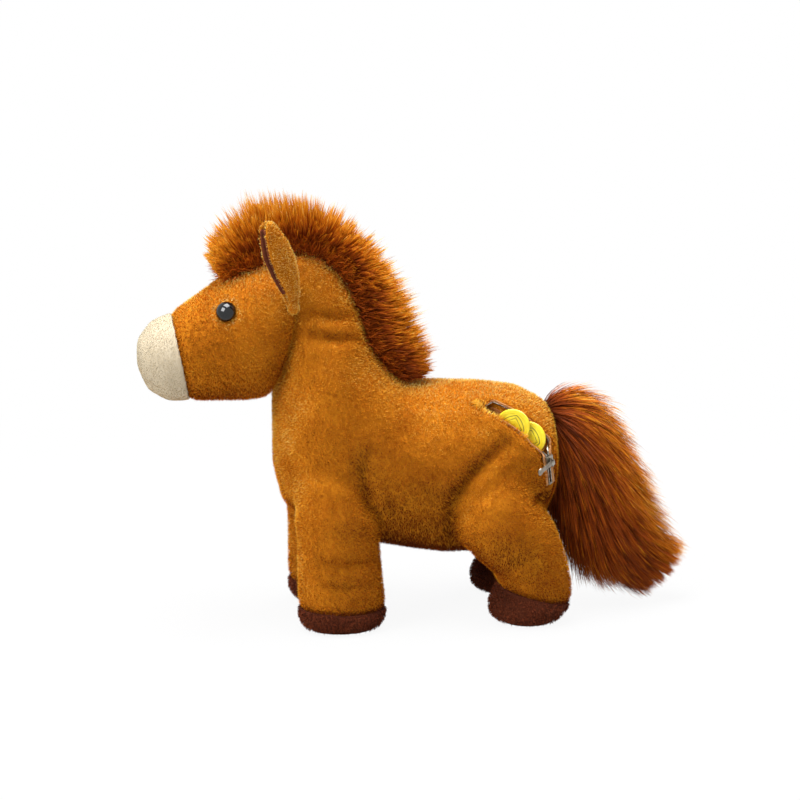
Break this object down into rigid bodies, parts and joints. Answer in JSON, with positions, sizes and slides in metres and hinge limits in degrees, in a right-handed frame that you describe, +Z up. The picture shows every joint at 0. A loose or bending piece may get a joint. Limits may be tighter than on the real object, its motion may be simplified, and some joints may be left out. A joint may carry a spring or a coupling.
{
  "type": "plush horse with zip pocket",
  "caption": "Standing stuffed horse of brown plush with a cream muzzle, long fur mane and tail, safety eyes, and a zip pocket with coins in its left haunch.",
  "frame": {"origin": "centre of the overall size, on the floor plane", "axes": "+X toward the tail, so the horse faces -X; +Y toward its right side; +Z up"},
  "size_m": [0.3854, 0.1348, 0.2937],
  "materials": {
    "plush_brown": "short curly plush",
    "plush_cream": "short curly plush",
    "hoof_brown": "short dark plush",
    "long_fur": "long two-tone pile",
    "ear_lining": "smooth knit",
    "stuffing": "polyester filling",
    "backing": "knitted backing",
    "eye_black": "polished",
    "washer": "moulded",
    "zip_tape": "woven tape",
    "zip_metal": "plain metal",
    "coin_yellow": "satin yellow"
  },
  "bodies": {
    "horse": {"torso_skin": "plush_brown", "torso_stuffing": "stuffing", "head_skin": "plush_brown", "head_stuffing": "stuffing", "muzzle": "plush_cream", "left_eye": "eye_black", "right_eye": "eye_black", "left_eye_washer": "washer", "right_eye_washer": "washer", "mane_fur": "long_fur", "mane_backing": "backing", "pocket_lining": "zip_tape", "zip_tape_upper": "zip_tape", "zip_tape_lower": "zip_tape", "zip_teeth_upper": "zip_metal", "zip_teeth_lower": "zip_metal", "zip_stop": "zip_metal", "front_left_leg": "plush_brown", "front_left_leg_stuffing": "stuffing", "front_left_hoof": "hoof_brown", "front_left_sole": "hoof_brown", "front_right_leg": "plush_brown", "front_right_leg_stuffing": "stuffing", "front_right_hoof": "hoof_brown", "front_right_sole": "hoof_brown", "hind_left_leg": "plush_brown", "hind_left_leg_stuffing": "stuffing", "hind_left_hoof": "hoof_brown", "hind_left_sole": "hoof_brown", "hind_right_leg": "plush_brown", "hind_right_leg_stuffing": "stuffing", "hind_right_hoof": "hoof_brown", "hind_right_sole": "hoof_brown"},
    "dock": {"tail_dock": "plush_brown"},
    "tail": {"tail_fur": "long_fur", "tail_backing": "backing"},
    "left_ear_flap": {"left_ear": "plush_brown", "left_ear_lining": "ear_lining"},
    "right_ear_flap": {"right_ear": "plush_brown", "right_ear_lining": "ear_lining"},
    "slider": {"zip_slider": "zip_metal"},
    "pull": {"zip_pull": "zip_metal"},
    "front_coin": {"coin_front": "coin_yellow"},
    "rear_coin": {"coin_back": "coin_yellow"}
  },
  "joints": [
    {"name": "tail_wag", "type": "hinge", "parent": "horse", "child": "dock", "pos_m": [0.09953, 0, 0.13517], "axis": [0, 0, 1], "range_deg": [-15, 15], "stiffness_Nm_per_rad": 0.02},
    {"name": "tail_lift", "type": "hinge", "parent": "dock", "child": "tail", "pos_m": [0.09953, 0, 0.13517], "axis": [0, -1, 0], "range_deg": [0, 26]},
    {"name": "left_ear_fold", "type": "hinge", "parent": "horse", "child": "left_ear_flap", "pos_m": [-0.08779, -0.04, 0.22587], "axis": [0, 1, 0], "range_deg": [-20, 20], "stiffness_Nm_per_rad": 0.02},
    {"name": "right_ear_fold", "type": "hinge", "parent": "horse", "child": "right_ear_flap", "pos_m": [-0.08779, 0.04, 0.22587], "axis": [0, 1, 0], "range_deg": [-20, 20], "stiffness_Nm_per_rad": 0.02},
    {"name": "zip_slide", "type": "slide", "parent": "horse", "child": "slider", "axis": [0.1509, 0.1714, -0.9736], "range_m": [0, 0.011]},
    {"name": "pull_swing", "type": "hinge", "parent": "slider", "child": "pull", "pos_m": [0.09015, -0.04412, 0.11475], "axis": [-0.1509, -0.1714, 0.9736], "range_deg": [0, 150]},
    {"name": "front_coin_slide", "type": "slide", "parent": "horse", "child": "front_coin", "axis": [0.5943, -0.2696, 0.7577], "range_m": [0, 0.018]},
    {"name": "rear_coin_slide", "type": "slide", "parent": "horse", "child": "rear_coin", "axis": [0.5943, -0.2696, 0.7577], "range_m": [0, 0.018]}
  ]
}
